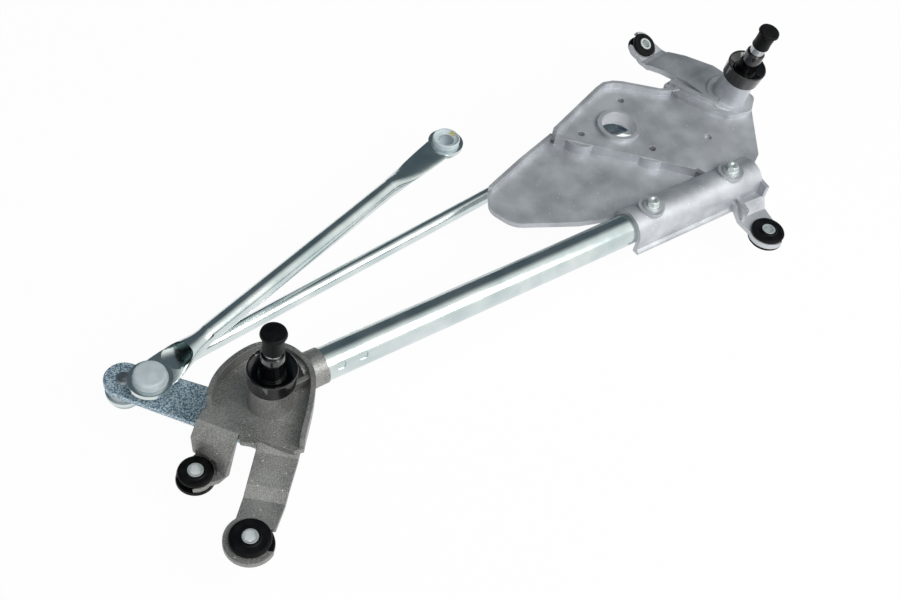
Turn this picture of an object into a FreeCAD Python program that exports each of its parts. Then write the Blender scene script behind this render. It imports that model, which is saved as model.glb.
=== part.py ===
import FreeCAD, Part
import math
import os
import Sketcher

Vector = FreeCAD.Vector
Rotation = FreeCAD.Rotation
Placement = FreeCAD.Placement

doc = FreeCAD.newDocument("WiperLinkage")
sizes = doc.addObject("Spreadsheet::Sheet", "Sizes")

# Driving dimensions, in millimetres and degrees.
# The origin lies on the left spindle's axis, level with the rim of its cover; +Z is up that axis,
# +X points to the right spindle and +Y away from the windscreen's outer edge.
DRIVING = (
    ("pivot_spacing", 565.5, "left spindle axis to right spindle axis"),
    ("right_pivot_rise", 12.0, "right cover rim above the left one"),
    ("right_pivot_tilt", 9.5, "lean of the right spindle towards the front"),
    ("tube_outer", 28.0, "frame tube outside diameter"),
    ("tube_wall", 2.0, "frame tube wall"),
    ("tube_level", 48.0, "tube axis below the cover rim"),
    ("tube_start_along", 54.0, "left end of the tube, along X from the left spindle"),
    ("tube_start_across", 6.0, "left end of the tube, along Y"),
    ("saddle_inset", 203.0, "saddle mouth to right spindle, along X"),
    ("saddle_front", 43.4, "saddle mouth in front of the spindle line"),
    ("saddle_length", 150.0, "length of the tube's seat in the right housing"),
    ("saddle_wall", 4.2, "wall of the saddle over the tube"),
    ("tube_fit", 0.1, "clearance between tube and castings"),
    ("stake_length", 9.5, "staked dimples in the tube"),
    ("stake_width", 6.6, "staked dimples in the tube, across"),
    ("stake_depth", 1.2, "staked dimples in the tube, deep"),
    ("shaft_diameter", 14.0, "spindle journal"),
    ("running_fit", 0.05, "radial clearance of the spindle in its bushes"),
    ("bush_wall", 2.0, "plain bush wall"),
    ("bush_length", 14.0, "plain bush length"),
    ("boss_top_diameter", 30.8, "spindle boss under the cover"),
    ("boss_base_diameter", 34.0, "spindle boss at the floor of the housing"),
    ("boss_top_depth", 13.0, "top of the boss below the cover rim"),
    ("boss_end_depth", 70.0, "lower end of the boss below the cover rim"),
    ("boss_tail_diameter", 27.0, "boss below the floor"),
    ("cover_diameter", 38.0, "rim of the cover"),
    ("cover_height", 15.0, "cover height"),
    ("cover_lip", 1.6, "width of the cover's rim"),
    ("funnel_depth", 6.0, "depth of the funnel in the cover"),
    ("seal_diameter", 18.4, "black sleeve round the spindle"),
    ("seal_top", 18.4, "top of the sleeve above the cover rim"),
    ("seal_clearance", 0.3, "sleeve to spindle"),
    ("journal_top", 25.0, "end of the cylindrical part above the cover rim"),
    ("cone_length", 8.0, "cone that carries the wiper arm"),
    ("cone_top_diameter", 11.6, "small end of that cone"),
    ("thread_diameter", 9.8, "threaded end"),
    ("thread_length", 5.5, "threaded end"),
    ("cap_bottom", 23.0, "lower edge of the left protective cap"),
    ("cap_lift", 4.0, "how much further out the right cap sits"),
    ("cap_length", 19.5, "protective cap"),
    ("cap_wall", 1.2, "protective cap wall"),
    ("cap_head_diameter", 20.0, "head of the protective cap"),
    ("cap_head_height", 3.2, "head of the protective cap"),
    ("crank_depth", 77.5, "upper face of the crank below the cover rim"),
    ("crank_thickness", 5.0, "crank and lever plate"),
    ("crank_length", 121.0, "left crank, spindle to link ball"),
    ("drive_ball_radius", 98.0, "left crank, spindle to drive ball"),
    ("crank_angle", 120.0, "direction of the left crank at rest, from +X"),
    ("lever_length", 80.0, "right lever, spindle to ball"),
    ("lever_angle", 142.2, "direction of the right lever at rest, from +X"),
    ("clip_depth", 10.3, "retaining clip below the cover rim"),
    ("clip_thickness", 1.2, "retaining clip"),
    ("clip_width", 3.0, "retaining clip, proud of the spindle"),
    ("clip_groove", 12.6, "groove for the retaining clip"),
    ("hub_radius", 19.0, "crank and lever round the spindle"),
    ("tip_radius", 15.5, "crank and lever round the ball stud"),
    ("shoulder_diameter", 21.0, "spindle shoulder above the crank"),
    ("tenon_diameter", 11.0, "riveted end of the spindle"),
    ("rivet_height", 3.0, "riveted head"),
    ("held_ball_diameter", 16.0, "ball studs"),
    ("open_ball_diameter", 13.0, "ball of the opened pivot on the lever"),
    ("ball_drop", 13.0, "ball centre from the crank's middle plane"),
    ("held_ball_fit", 0.3, "socket clearance round a ball"),
    ("open_ball_fit", 3.6, "socket clearance at the opened pivot"),
    ("stud_tenon_diameter", 8.0, "riveted end of a ball stud"),
    ("press_gap", 0.02, "radial gap of riveted and pressed pieces"),
    ("socket_wall", 1.6, "top of a ball socket over its cavity"),
    ("held_socket_mouth", 0.86, "mouth of a ball socket, as a share of its cavity"),
    ("open_socket_mouth", 0.97, "the same at the opened pivot"),
    ("held_socket_skirt", 7.5, "ball centre to the socket's open end"),
    ("open_socket_skirt", 5.8, "the same at the opened pivot"),
    ("socket_lip", 0.9, "lip of a ball socket on the rod's eye"),
    ("socket_seat", 0.15, "gap between that lip and the eye"),
    ("stud_neck_diameter", 9.0, "neck of a ball stud"),
    ("socket_diameter", 26.0, "ball socket"),
    ("socket_height", 15.0, "ball socket"),
    ("drive_rod_length", 373.5, "ball to ball of the drive rod"),
    ("drive_rod_angle", 9.1, "direction of the drive rod at rest, from +X"),
    ("spoon_length", 62.0, "drive rod, from the left ball to where its tube is round"),
    ("flat_end_length", 84.0, "the same at the motor's end"),
    ("core_start", 53.0, "drive rod, from the left ball to the tube's bore"),
    ("core_end", 88.0, "the same at the motor's end"),
    ("link_end_length", 56.0, "connecting rod, from a ball to where its tube is round"),
    ("seat_lead", 60.0, "how far before the saddle the tube's seat is cut"),
    ("leg_web_height", 26.0, "web at the end of the right front arm"),
    ("leg_fin_height", 16.0, "fin on the right front arm"),
    ("drive_rod_diameter", 15.8, "drive rod tube"),
    ("drive_rod_wall", 1.6, "drive rod tube wall"),
    ("rod_eye_diameter", 35.0, "pressed eye of the drive rod"),
    ("link_rod_diameter", 12.8, "connecting rod"),
    ("link_eye_diameter", 30.0, "eye of the connecting rod"),
    ("eye_thickness", 4.0, "pressed eyes"),
    ("link_end_shift_x", -2.5, "opened end of the connecting rod from its ball, along X"),
    ("link_end_shift_y", 2.1, "opened end of the connecting rod from its ball, along Y"),
    ("link_hinge_slope_x", -0.0494, "lean of the connecting rod's sockets along X"),
    ("link_hinge_slope_y", -0.0275, "lean of the connecting rod's sockets along Y"),
    ("floor_depth", 42.0, "floor of the left housing below the cover rim"),
    ("casting_wall", 5.0, "plates of the castings"),
    ("rim_width", 4.0, "rim walls of the castings"),
    ("rim_height", 12.0, "rim walls above the floor"),
    ("motor_plate_depth", 36.0, "motor plate below the left cover rim"),
    ("wing_depth", 46.0, "lower wing below the left cover rim"),
    ("motor_bore", 33.0, "bore for the motor's neck"),
    ("motor_ring_wall", 4.0, "ring round that bore"),
    ("motor_ring_height", 3.5, "ring above the motor plate"),
    ("motor_screw_circle", 78.0, "bolt circle of the motor screws"),
    ("motor_screw_hole", 6.6, "holes for the motor screws"),
    ("motor_boss_diameter", 35.0, "bosses round the motor screws"),
    ("clamp_bolt_diameter", 6.0, "bolts through saddle and tube"),
    ("clamp_hole", 6.4, "their holes"),
    ("clamp_pitch", 97.0, "distance between them"),
    ("clamp_start", 23.0, "first bolt from the saddle's mouth"),
    ("clamp_pad_diameter", 24.0, "pads under the bolt heads"),
    ("clamp_pad_height", 1.6, "pads above the saddle"),
    ("clamp_washer_diameter", 16.0, "washers under the bolt heads"),
    ("clamp_washer_thickness", 1.6, "those washers"),
    ("hex_across", 10.0, "bolt heads and nuts across flats"),
    ("hex_height", 4.6, "bolt heads and nuts"),
    ("flange_diameter", 13.4, "bolt and nut flanges"),
    ("flange_height", 1.3, "bolt and nut flanges"),
    ("grommet_bore", 12.0, "rubber grommet bore, round its sleeve"),
    ("grommet_neck", 17.0, "rubber grommet at the groove"),
    ("grommet_flange", 4.2, "thickness of a grommet flange"),
    ("sleeve_bore", 8.6, "fixing bolt clearance"),
    ("fork_thickness", 5.0, "fork ends of the arms"),
    ("fork_fit", 0.15, "grommet in its fork"),
)
for row, (alias, value, note) in enumerate(DRIVING, 1):
    sizes.set("A%d" % row, alias)
    sizes.set("B%d" % row, str(value))
    sizes.setAlias("B%d" % row, alias)
    sizes.set("C%d" % row, note)
doc.recompute()


def size(expression):
    """The value of an expression of driving dimensions, given by their bare names."""
    return float(sizes.evalExpression(expression))


def bound(expression):
    """The same expression written for another object: each alias gets the sheet's name."""
    text = str(expression)
    for alias in sorted((entry[0] for entry in DRIVING), key=len, reverse=True):
        text = replace_word(text, alias, "Sizes." + alias)
    return text


def replace_word(text, word, new):
    """Replaces whole words only, and none that already follows a dot."""
    out = ""
    place = 0
    while True:
        found = text.find(word, place)
        if found < 0:
            return out + text[place:]
        before = text[found - 1] if found else " "
        end = found + len(word)
        after = text[end] if end < len(text) else " "
        whole = not (before.isalnum() or before in "._") and not (after.isalnum() or after == "_")
        out += text[place:found] + (new if whole else word)
        place = end


def new_body(label):
    body = doc.addObject("PartDesign::Body", label)
    body.Label = label
    return body


def place(piece, base=Vector(), rotation=Rotation()):
    piece.Placement = Placement(base, rotation)
    return piece


def sketch_on(body, name, role="XY_Plane", offset=Placement()):
    """A sketch on one of the body's own origin planes, moved by offset."""
    plane = next(item for item in body.Origin.OriginFeatures if item.Role == role)
    sketch = body.newObject("Sketcher::SketchObject", name)
    sketch.AttachmentSupport = [(plane, "")]
    sketch.MapMode = "FlatFace"
    sketch.AttachmentOffset = offset
    return sketch


def level(depth):
    """Offset of a horizontal sketch to a level, given as an expression below the cover rim."""
    return Placement(Vector(0, 0, -size(depth)), Rotation())


def tie(sketch, kind, *where):
    """Adds a constraint whose last argument is an expression of driving dimensions."""
    expression = where[-1]
    number = sketch.addConstraint(Sketcher.Constraint(kind, *where[:-1], size(expression)))
    name = "%s%d" % (kind.lower(), number)
    sketch.renameConstraint(number, name)
    sketch.setExpression("Constraints." + name, bound(expression))


def add_circle(sketch, radius, x="0", y="0"):
    circle = sketch.addGeometry(Part.Circle(Vector(size(x), size(y), 0), Vector(0, 0, 1), size(radius)))
    tie(sketch, "Radius", circle, radius)
    tie(sketch, "DistanceX", -1, 1, circle, 3, x)
    tie(sketch, "DistanceY", -1, 1, circle, 3, y)
    return circle


def add_profile(sketch, corners):
    """A closed outline of straight edges whose corners are expressions."""
    points = [Vector(size(x), size(y), 0) for x, y in corners]
    first = None
    for index, point in enumerate(points):
        line = sketch.addGeometry(Part.LineSegment(point, points[(index + 1) % len(points)]))
        first = line if first is None else first
        if index:
            sketch.addConstraint(Sketcher.Constraint("Coincident", line - 1, 2, line, 1))
    sketch.addConstraint(Sketcher.Constraint("Coincident", first + len(points) - 1, 2, first, 1))
    for index, (x, y) in enumerate(corners):
        tie(sketch, "DistanceX", -1, 1, first + index, 1, x)
        tie(sketch, "DistanceY", -1, 1, first + index, 1, y)


def add_outline(sketch, corners):
    """A closed outline through (x, y, radius) corners: straight edges joined by tangent arcs."""
    count = len(corners)
    trims = []
    for index in range(count):
        x, y, radius = corners[index]
        here = Vector(x, y, 0)
        back = (Vector(*corners[index - 1][:2], 0) - here).normalize()
        ahead = (Vector(*corners[(index + 1) % count][:2], 0) - here).normalize()
        half = back.getAngle(ahead) / 2
        cut = radius / math.tan(half) if radius else 0
        bisector = (back + ahead).normalize() if radius else Vector()
        middle = here + bisector * (radius / math.sin(half) - radius) if radius else here
        trims.append((here + back * cut, middle, here + ahead * cut))
    for index in range(count):
        start, middle, end = trims[index]
        if corners[index][2]:
            sketch.addGeometry(Part.Arc(start, middle, end))
        following = trims[(index + 1) % count][0]
        if end.distanceToPoint(following) > 1e-4:
            sketch.addGeometry(Part.LineSegment(end, following))


def add_path(sketch, points):
    """An open run of straight edges through the points."""
    corners = [point if isinstance(point, Vector) else Vector(*point, 0) for point in points]
    for start, end in zip(corners, corners[1:]):
        sketch.addGeometry(Part.LineSegment(start, end))


def add_slot(sketch, length, width):
    """A stadium about the sketch's origin, its long axis along X."""
    radius = width / 2
    reach = length / 2 - radius
    sketch.addGeometry(Part.LineSegment(Vector(-reach, radius, 0), Vector(reach, radius, 0)))
    right_end = (Vector(reach, radius, 0), Vector(reach + radius, 0, 0), Vector(reach, -radius, 0))
    left_end = (Vector(-reach, -radius, 0), Vector(-reach - radius, 0, 0), Vector(-reach, radius, 0))
    sketch.addGeometry(Part.Arc(*right_end))
    sketch.addGeometry(Part.LineSegment(Vector(reach, -radius, 0), Vector(-reach, -radius, 0)))
    sketch.addGeometry(Part.Arc(*left_end))


def pad(body, sketch, length, reverse=False, both=False):
    feature = body.newObject("PartDesign::Pad", sketch.Name + "Pad")
    feature.Profile = sketch
    feature.setExpression("Length", bound(length))
    feature.Reversed = reverse
    feature.Midplane = both
    sketch.Visibility = False
    return feature


def pocket(body, sketch, length=None, reverse=False, both=False):
    """Cuts to a length, or through everything where none is given."""
    feature = body.newObject("PartDesign::Pocket", sketch.Name + "Pocket")
    feature.Profile = sketch
    if length is None:
        feature.Type = "ThroughAll"
    else:
        feature.setExpression("Length", bound(length))
    feature.Reversed = reverse
    feature.Midplane = both
    return feature


def turn(body, sketch, kind="PartDesign::Revolution"):
    """A full turn of a profile about the sketch's vertical axis."""
    feature = body.newObject(kind, sketch.Name + "Turn")
    feature.Profile = sketch
    feature.ReferenceAxis = (sketch, ["V_Axis"])
    feature.Angle = 360
    return feature


def turned(label, corners, base=Vector(), rotation=Rotation()):
    """A turned piece about Z from a profile of (radius, height) expressions."""
    body = new_body(label)
    sketch = sketch_on(body, label + "_profile", "XZ_Plane")
    add_profile(sketch, corners)
    turn(body, sketch)
    return place(body, base, rotation)


def loft(body, name, sections, ruled=True):
    """Joins cross-sections (centre, direction, width, height) of a bent arm."""
    sketches = []
    for index, (centre, direction, width, height) in enumerate(sections):
        side = Vector(0, 0, 1).cross(direction).normalize()
        up = direction.cross(side).normalize()
        sketch = sketch_on(body, "%s_section_%d" % (name, index))
        sketch.AttachmentOffset = Placement(centre, Rotation(side, up, direction, "ZXY"))
        add_outline(sketch, [(-width / 2, -height / 2, 0), (width / 2, -height / 2, 0),
                             (width / 2, height / 2, 0), (-width / 2, height / 2, 0)])
        sketches.append(sketch)
    feature = body.newObject("PartDesign::AdditiveLoft", name)
    feature.Profile = sketches[0]
    feature.Sections = sketches[1:]
    feature.Ruled = ruled
    return feature


def polar(radius, angle, height=0.0):
    angle = math.radians(angle)
    return Vector(radius * math.cos(angle), radius * math.sin(angle), height)


# Frames of reference: both spindles and the tube.
UP = Vector(0, 0, 1)
right_base = Vector(size("pivot_spacing"), 0, size("right_pivot_rise"))
right_turn = Rotation(Vector(1, 0, 0), size("right_pivot_tilt"))
right_axis = right_turn.multVec(UP)
right_side = Vector(size("pivot_spacing"), 0, 0)
tube_start = Vector(size("tube_start_along"), size("tube_start_across"), -size("tube_level"))
saddle_mouth = Vector(size("pivot_spacing - saddle_inset"), -size("saddle_front"), -size("tube_level"))
tube_run = saddle_mouth - tube_start
tube_angle = math.degrees(math.atan2(tube_run.y, tube_run.x))
tube_turn = Rotation(UP, tube_angle)
tube_length = tube_run.Length + size("saddle_length") - size("tube_wall")
SIDES = (("left", Vector(), Rotation()), ("right", right_base, right_turn))


def along_tube(distance, height=0.0, across=0.0):
    """A point at a distance from the tube's left end."""
    return tube_start + tube_turn.multVec(Vector(distance, across, height))


clamp_places = [tube_run.Length + size("clamp_start") + index * size("clamp_pitch") for index in range(2)]


def make_tube():
    """The frame tube, with its two rows of staked dimples and two clamp holes."""
    body = new_body("frame_tube")
    ring = sketch_on(body, "tube_ring", "YZ_Plane")
    add_circle(ring, "tube_outer / 2")
    add_circle(ring, "tube_outer / 2 - tube_wall")
    tube = pad(body, ring, "tube_outer")
    tube.setExpression("Length", None)
    tube.Length = tube_length
    for row, lean in enumerate((-58, 58)):
        for column in range(2):
            offset = Rotation(Vector(1, 0, 0), lean)
            place_along = Vector(size("stake_length") * (1.1 + 2.1 * column), 0, 0)
            surface = offset.multVec(Vector(0, 0, size("tube_outer / 2")))
            dimple = sketch_on(body, "stake_%d_%d" % (row, column), "XY_Plane",
                               Placement(place_along + surface, offset))
            add_slot(dimple, size("stake_length"), size("stake_width"))
            pocket(body, dimple, "stake_depth")
    holes = sketch_on(body, "clamp_holes")
    for distance in clamp_places:
        add_circle(holes, "clamp_hole / 2", str(distance))
    pocket(body, holes, None, both=True)
    return place(body, tube_start, tube_turn)


def make_spindle(side, base, rotation):
    return turned(side + "_spindle", [
        ("0", "journal_top + cone_length + thread_length"),
        ("thread_diameter / 2", "journal_top + cone_length + thread_length"),
        ("thread_diameter / 2", "journal_top + cone_length"),
        ("cone_top_diameter / 2", "journal_top + cone_length"),
        ("shaft_diameter / 2", "journal_top"),
        ("shaft_diameter / 2", "-clip_depth + press_gap"),
        ("clip_groove / 2", "-clip_depth + press_gap"),
        ("clip_groove / 2", "-clip_depth - clip_thickness - press_gap"),
        ("shaft_diameter / 2", "-clip_depth - clip_thickness - press_gap"),
        ("shaft_diameter / 2", "-crank_depth + 4.5"),
        ("shoulder_diameter / 2", "-crank_depth + 4.5"),
        ("shoulder_diameter / 2", "-crank_depth"),
        ("tenon_diameter / 2", "-crank_depth"),
        ("tenon_diameter / 2", "-crank_depth - crank_thickness"),
        ("tenon_diameter / 2 + 3", "-crank_depth - crank_thickness"),
        ("tenon_diameter / 2 + 2", "-crank_depth - crank_thickness - rivet_height"),
        ("0", "-crank_depth - crank_thickness - rivet_height")], base, rotation)


def make_bush(side, end, top, base, rotation):
    """A plain bush pressed into one end of the boss, its upper face at the given level."""
    return turned("%s_%s_bush" % (side, end), [
        ("shaft_diameter / 2 + running_fit", top),
        ("shaft_diameter / 2 + bush_wall", top),
        ("shaft_diameter / 2 + bush_wall", top + " - bush_length"),
        ("shaft_diameter / 2 + running_fit", top + " - bush_length")], base, rotation)


def make_ring(label, inner, outer, top, thickness, base, rotation):
    return turned(label, [(inner, top), (outer, top), (outer, "%s - (%s)" % (top, thickness)),
                          (inner, "%s - (%s)" % (top, thickness))], base, rotation)


def make_cover(side, base, rotation):
    """The black cover on the boss: a rim, a funnel that leads water to the sleeve, and a skirt."""
    seat = "boss_top_diameter / 2 + 0.4"
    hole = "seal_diameter / 2 + 0.3"
    return turned(side + "_pivot_cover", [
        (hole, "-funnel_depth"),
        (hole + " + 1", "-funnel_depth"),
        ("cover_diameter / 2 - cover_lip", "-1"),
        ("cover_diameter / 2 - cover_lip", "0"),
        ("cover_diameter / 2 - 0.4", "0"),
        ("cover_diameter / 2", "-0.6"),
        ("cover_diameter / 2 - 0.9", "-cover_height"),
        (seat, "-cover_height"),
        (seat, "-boss_top_depth + 1.5"),
        (seat + " - 1.8", "-boss_top_depth + 3"),
        (hole, "-boss_top_depth + 4.4")], base, rotation)


def make_seal(side, base, rotation):
    """The black sleeve round the spindle, standing in the cover's funnel."""
    inner = "shaft_diameter / 2 + seal_clearance"
    return turned(side + "_spindle_sleeve", [
        (inner, "-boss_top_depth + 4"),
        ("seal_diameter / 2", "-boss_top_depth + 4"),
        ("seal_diameter / 2", "seal_top - 5"),
        ("seal_diameter / 2 - 0.4", "seal_top - 0.6"),
        ("seal_diameter / 2 - 1", "seal_top"),
        (inner, "seal_top")], base, rotation)


def make_cap(side, base, rotation):
    """The rubber cap over the spindle's thread and cone."""
    lift = "cap_lift" if side == "right" else "0"
    bottom = "cap_bottom + %s" % lift
    top = "cap_bottom + cap_length + %s" % lift
    inner = "shaft_diameter / 2 + 0.05"
    wall = "shaft_diameter / 2 + cap_wall"
    return turned(side + "_spindle_cap", [
        (inner, bottom),
        (wall + " + 0.1", bottom),
        (wall + " - 0.3", bottom + " + 6"),
        (wall, top + " - cap_head_height - 1.5"),
        ("cap_head_diameter / 2 - 0.6", top + " - cap_head_height"),
        ("cap_head_diameter / 2", top + " - cap_head_height + 0.8"),
        ("cap_head_diameter / 2 - 0.5", top + " - 0.5"),
        ("cap_head_diameter / 2 - 1.4", top),
        ("0", top),
        ("0", "journal_top + cone_length + thread_length + 0.4"),
        (inner, "journal_top + cone_length + thread_length + 0.4")], base, rotation)


def make_lever(label, length, angle, holes, base, rotation):
    """A flat lever: its outline closes round the spindle and round the ball stud."""
    body = new_body(label)
    outline = sketch_on(body, label + "_outline", "XY_Plane", level("crank_depth + crank_thickness"))
    reach = size(length)
    hub = size("hub_radius")
    tip = size("tip_radius")
    lean = math.degrees(math.asin((hub - tip) / reach))
    corners = [polar(hub, 90 - lean), polar(hub, lean - 90)]
    ends = [Vector(reach, 0, 0) + polar(tip, lean - 90), Vector(reach, 0, 0) + polar(tip, 90 - lean)]
    outline.addGeometry(Part.Arc(corners[0], Vector(-hub, 0, 0), corners[1]))
    outline.addGeometry(Part.LineSegment(corners[1], ends[0]))
    outline.addGeometry(Part.Arc(ends[0], Vector(reach + tip, 0, 0), ends[1]))
    outline.addGeometry(Part.LineSegment(ends[1], corners[0]))
    pad(body, outline, "crank_thickness")
    bores = sketch_on(body, label + "_bores", "XY_Plane", level("crank_depth + crank_thickness"))
    for radius, distance in holes:
        add_circle(bores, radius, distance)
    pocket(body, bores, "crank_thickness", reverse=True)
    return place(body, base, rotation * Rotation(UP, size(angle)))


def make_ball_stud(label, length, angle, upward, ball, base, rotation):
    """A ball stud riveted through a lever, its ball above or below the plate."""
    sign = 1 if upward else -1
    middle = -size("crank_depth + crank_thickness / 2")
    face = size("crank_thickness / 2")
    centre = middle + sign * size("ball_drop")
    radius = size(ball + " / 2")
    neck = size("stud_neck_diameter / 2 - 0.5")
    rivet = size("stud_tenon_diameter / 2")
    head = size("rivet_height")
    joint = Vector(neck, centre - sign * math.sqrt(radius ** 2 - neck ** 2), 0)
    top = Vector(0, centre + sign * radius, 0)
    outline = [joint, (neck, middle + sign * (face + 2.2)), (rivet + 2.5, middle + sign * (face + 1.8)),
               (rivet + 2.5, middle + sign * face), (rivet, middle + sign * face),
               (rivet, middle - sign * face), (rivet + 2, middle - sign * face),
               (rivet + 1.2, middle - sign * (face + head * 0.6)),
               (0, middle - sign * (face + head * 0.8)), top]
    body = new_body(label)
    sketch = sketch_on(body, label + "_profile", "XZ_Plane")
    sketch.addGeometry(Part.Arc(top, Vector(radius, centre, 0), joint))
    add_path(sketch, outline)
    turn(body, sketch)
    return place(body, base + rotation.multVec(polar(size(length), size(angle))), rotation)


def make_grommet(label, upper, lower, height, centre, lean):
    """A rubber grommet: two flanges and the groove that the fork end holds."""
    return turned(label, [
        ("grommet_bore / 2 + 0.05", "0"),
        ("grommet_bore / 2 + 1.6", "0"),
        ("grommet_bore / 2 + 2.4", "-0.7"),
        (upper + " / 2 - 2.2", "-0.7"),
        (upper + " / 2 - 0.6", "-1.1"),
        (upper + " / 2", "-2.2"),
        (upper + " / 2 - 0.4", "-grommet_flange"),
        ("grommet_neck / 2", "-grommet_flange"),
        ("grommet_neck / 2", "grommet_flange - " + height),
        (lower + " / 2 - 0.4", "grommet_flange - " + height),
        (lower + " / 2", "1.6 - " + height),
        (lower + " / 2 - 1.4", "-" + height),
        ("grommet_bore / 2 + 0.05", "-" + height)], centre, lean)


def make_sleeve(label, height, centre, lean):
    """The steel sleeve in a grommet, with a small flange at its foot."""
    return turned(label, [
        ("sleeve_bore / 2", "0.4"),
        ("grommet_bore / 2", "0.4"),
        ("grommet_bore / 2", "-" + height + " - 0.1"),
        ("grommet_bore / 2 + 3", "-" + height + " - 0.1"),
        ("grommet_bore / 2 + 3", "-" + height + " - 1.3"),
        ("sleeve_bore / 2", "-" + height + " - 1.3")], centre, lean)


def make_socket(label, centre, upward, kind, rotation):
    """A plastic ball socket: a round cup, open towards the stud's neck and domed at the other end."""
    sign = 1 if upward else -1
    cavity = size(kind + "_ball_diameter / 2 + %s_ball_fit" % kind)
    mouth = cavity * size(kind + "_socket_mouth")
    skirt = size(kind + "_socket_skirt")
    outer = size("socket_diameter / 2")
    half = size("socket_height / 2")
    crown = max(half, cavity + size("socket_wall"))
    plate = size("eye_thickness / 2 + socket_seat")
    lip = size("socket_lip")
    low = math.sqrt(cavity ** 2 - mouth ** 2)
    body = new_body(label)
    sketch = sketch_on(body, label + "_profile", "XZ_Plane")
    inside = (Vector(0, sign * cavity, 0), Vector(cavity, 0, 0), Vector(mouth, -sign * low, 0))
    sketch.addGeometry(Part.Arc(*inside))
    edge = Vector(outer, sign * (crown - 3.5), 0)
    rounded = Vector(outer - 2.5, sign * (crown - 0.8), 0)
    add_path(sketch, [inside[2], (mouth + 1, -sign * skirt), (outer - 0.8, -sign * skirt),
                      (outer - 0.2, -sign * (skirt - 1)), (outer - 0.2, sign * plate),
                      (outer + lip, sign * plate), (outer + lip, sign * (plate + 1)),
                      (outer, sign * (plate + 1)), edge])
    sketch.addGeometry(Part.Arc(edge, Vector(outer - 0.7, sign * (crown - 1.6), 0), rounded))
    add_path(sketch, [rounded, (0, sign * crown), inside[0]])
    turn(body, sketch)
    return place(body, centre, rotation)


def tilted(base, across, along):
    """Offset of a sketch whose X runs across and whose Y runs along the given directions."""
    return Placement(base, Rotation(across, along, across.cross(along), "XYZ"))


def plate(body, name, corners, top, thickness):
    """A flat plate from its outline; top is its upper face below the cover rim."""
    sketch = sketch_on(body, name, "XY_Plane", level(top))
    add_outline(sketch, corners)
    return pad(body, sketch, thickness, reverse=True)


def beside(path, distance):
    """The (x, y) points of a path moved sideways, to the left of its run."""
    moved = []
    for index, (x, y) in enumerate(path):
        before = path[max(index - 1, 0)]
        after = path[min(index + 1, len(path) - 1)]
        run = Vector(after[0] - before[0], after[1] - before[1], 0).normalize()
        moved.append((x - run.y * distance, y + run.x * distance))
    return moved


def add_curve(sketch, points):
    """A smooth curve through (x, y) points."""
    curve = Part.BSplineCurve()
    curve.interpolate([Vector(x, y, 0) for x, y in points])
    sketch.addGeometry(curve)


def curved_plate(body, name, path, corners, top, thickness):
    """A plate whose one side is a smooth curve along the path, closed by straight edges."""
    sketch = sketch_on(body, name, "XY_Plane", level(top))
    add_curve(sketch, path)
    add_path(sketch, [path[-1], *corners, path[0]])
    return pad(body, sketch, thickness, reverse=True)


def wall(body, name, path, width, top, height):
    """A straight-sided wall along a path of (x, y) points, its top below the cover rim."""
    left = beside(path, width / 2)
    right = beside(path, -width / 2)
    return plate(body, name, [(x, y, 0) for x, y in left + right[::-1]], top, height)


def curved_wall(body, name, path, width, top, height):
    """The same wall with smooth sides."""
    sketch = sketch_on(body, name, "XY_Plane", level(top))
    left = beside(path, width / 2)
    right = beside(path, -width / 2)
    add_curve(sketch, left)
    add_curve(sketch, right)
    add_path(sketch, [left[0], right[0]])
    add_path(sketch, [left[-1], right[-1]])
    return pad(body, sketch, height, reverse=True)


def boss(body, name, base, axis, radii):
    """A round boss about an axis from (radius, height) expressions, with its bore."""
    sketch = sketch_on(body, name)
    across = Vector(1, 0, 0)
    sketch.AttachmentOffset = tilted(base, across, axis)
    add_profile(sketch, radii)
    return turn(body, sketch)


def bore(body, name, base, axis, radius):
    """Cuts a round bore through everything along an axis."""
    sketch = sketch_on(body, name)
    across = Vector(1, 0, 0)
    sketch.AttachmentOffset = tilted(base, across, axis.cross(across).normalize())
    add_circle(sketch, radius)
    return pocket(body, sketch, None, both=True)


def fork(body, name, centre, axis, opening, diameter, flange):
    """The open ring at the end of an arm: a round plate, the grommet's seat and the way into it."""
    across = opening - axis * opening.dot(axis)
    across.normalize()
    along = axis.cross(across)
    ring = sketch_on(body, name + "_ring")
    ring.AttachmentOffset = tilted(centre, across, along)
    add_circle(ring, str(diameter / 2))
    pad(body, ring, "fork_thickness", both=True)
    seat = sketch_on(body, name + "_seat")
    seat.AttachmentOffset = tilted(centre, across, along)
    add_circle(seat, "grommet_neck / 2 + fork_fit")
    pocket(body, seat, "3 * fork_thickness", both=True)
    for part_name, lift in (("_upper_room", 1), ("_lower_room", -1)):
        room = sketch_on(body, name + part_name)
        middle = centre + axis * (lift * size("fork_thickness / 2 + grommet_flange"))
        room.AttachmentOffset = tilted(middle, across, along)
        add_circle(room, str(flange / 2 + 0.5))
        pocket(body, room, "2 * grommet_flange", both=True)
    way = sketch_on(body, name + "_way")
    way.AttachmentOffset = tilted(centre, across, along)
    half = size("grommet_neck / 2 - 1.2")
    reach = diameter
    add_outline(way, [(0, -half, 0), (reach, -half - 4, 0), (reach, half + 4, 0), (0, half, 0)])
    pocket(body, way, "3 * fork_thickness", both=True)


BOSS = (
    ("0", "-boss_top_depth"), ("boss_top_diameter / 2 - 0.6", "-boss_top_depth"),
    ("boss_top_diameter / 2", "-boss_top_depth - 0.8"),
    ("boss_base_diameter / 2", "-floor_depth"), ("boss_tail_diameter / 2 + 2", "-floor_depth - casting_wall"),
    ("boss_tail_diameter / 2", "-floor_depth - casting_wall - 3"),
    ("boss_tail_diameter / 2 - 1", "-boss_end_depth"), ("0", "-boss_end_depth"))

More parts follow.
